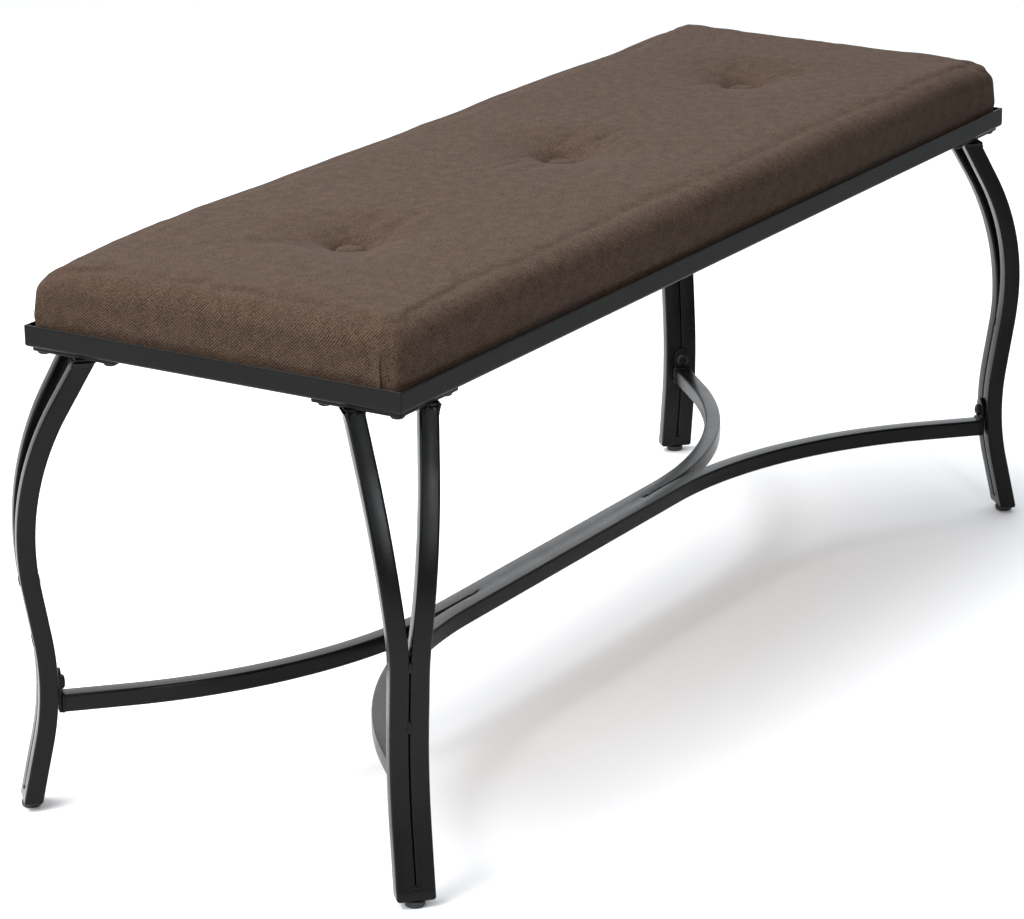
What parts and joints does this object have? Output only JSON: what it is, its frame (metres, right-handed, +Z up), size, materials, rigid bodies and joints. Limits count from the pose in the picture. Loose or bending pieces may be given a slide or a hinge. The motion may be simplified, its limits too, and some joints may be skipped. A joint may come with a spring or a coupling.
{
  "type": "entryway bench",
  "caption": "Upholstered entryway bench: a buttoned fabric pad in a black steel rim, on legs that are pairs of bent square tubes, tied by two bowed stretchers that meet along the middle.",
  "frame": {"origin": "on the floor, under the middle of the bench", "axes": "+X along the bench to its right end, +Y to its rear long side, +Z up"},
  "size_m": [1.0656, 0.3946, 0.4485],
  "materials": {
    "black_frame": "satin black powder coat",
    "black_fastener": "black oxide, satin",
    "glide_plastic": "matte black nylon",
    "seat_fabric": "brown twill weave, matt",
    "button_fabric": "brown twill weave, matt",
    "foam": "open cell upholstery foam",
    "plywood": "raw plywood",
    "twine": "waxed tufting twine",
    "steel_washer": "zinc plated"
  },
  "bodies": {
    "bench": {"rim_rail_front": "black_frame", "rim_rail_right": "black_frame", "rim_rail_rear": "black_frame", "rim_rail_left": "black_frame", "corner_plate_front_left": "black_frame", "plate_bolt_front_left_corner": "black_fastener", "plate_bolt_front_left_long": "black_fastener", "plate_bolt_front_left_end": "black_fastener", "leg_front_left_tube_long": "black_frame", "leg_front_left_tube_end": "black_frame", "foot_cap_front_left": "black_frame", "stretcher_tab_front_left": "black_frame", "tab_bolt_front_left": "black_fastener", "corner_plate_front_right": "black_frame", "plate_bolt_front_right_corner": "black_fastener", "plate_bolt_front_right_long": "black_fastener", "plate_bolt_front_right_end": "black_fastener", "leg_front_right_tube_long": "black_frame", "leg_front_right_tube_end": "black_frame", "foot_cap_front_right": "black_frame", "stretcher_tab_front_right": "black_frame", "tab_bolt_front_right": "black_fastener", "corner_plate_rear_right": "black_frame", "plate_bolt_rear_right_corner": "black_fastener", "plate_bolt_rear_right_long": "black_fastener", "plate_bolt_rear_right_end": "black_fastener", "leg_rear_right_tube_long": "black_frame", "leg_rear_right_tube_end": "black_frame", "foot_cap_rear_right": "black_frame", "stretcher_tab_rear_right": "black_frame", "tab_bolt_rear_right": "black_fastener", "corner_plate_rear_left": "black_frame", "plate_bolt_rear_left_corner": "black_fastener", "plate_bolt_rear_left_long": "black_fastener", "plate_bolt_rear_left_end": "black_fastener", "leg_rear_left_tube_long": "black_frame", "leg_rear_left_tube_end": "black_frame", "foot_cap_rear_left": "black_frame", "stretcher_tab_rear_left": "black_frame", "tab_bolt_rear_left": "black_fastener", "stretcher_front": "black_frame", "stretcher_rear": "black_frame", "seat_board": "plywood", "foam_pad": "foam", "fabric_cover": "seat_fabric", "button_left": "button_fabric", "button_twine_left": "twine", "twine_washer_left": "steel_washer", "button_middle": "button_fabric", "button_twine_middle": "twine", "twine_washer_middle": "steel_washer", "button_right": "button_fabric", "button_twine_right": "twine", "twine_washer_right": "steel_washer"},
    "glide_front_left": {"foot_glide_front_left": "glide_plastic"},
    "glide_front_right": {"foot_glide_front_right": "glide_plastic"},
    "glide_rear_right": {"foot_glide_rear_right": "glide_plastic"},
    "glide_rear_left": {"foot_glide_rear_left": "glide_plastic"}
  },
  "joints": [
    {"name": "level_front_left", "type": "slide", "parent": "bench", "child": "glide_front_left", "axis": [0, 0, -1], "range_m": [0, 0.008]},
    {"name": "level_front_right", "type": "slide", "parent": "bench", "child": "glide_front_right", "axis": [0, 0, -1], "range_m": [0, 0.008]},
    {"name": "level_rear_right", "type": "slide", "parent": "bench", "child": "glide_rear_right", "axis": [0, 0, -1], "range_m": [0, 0.008]},
    {"name": "level_rear_left", "type": "slide", "parent": "bench", "child": "glide_rear_left", "axis": [0, 0, -1], "range_m": [0, 0.008]}
  ]
}
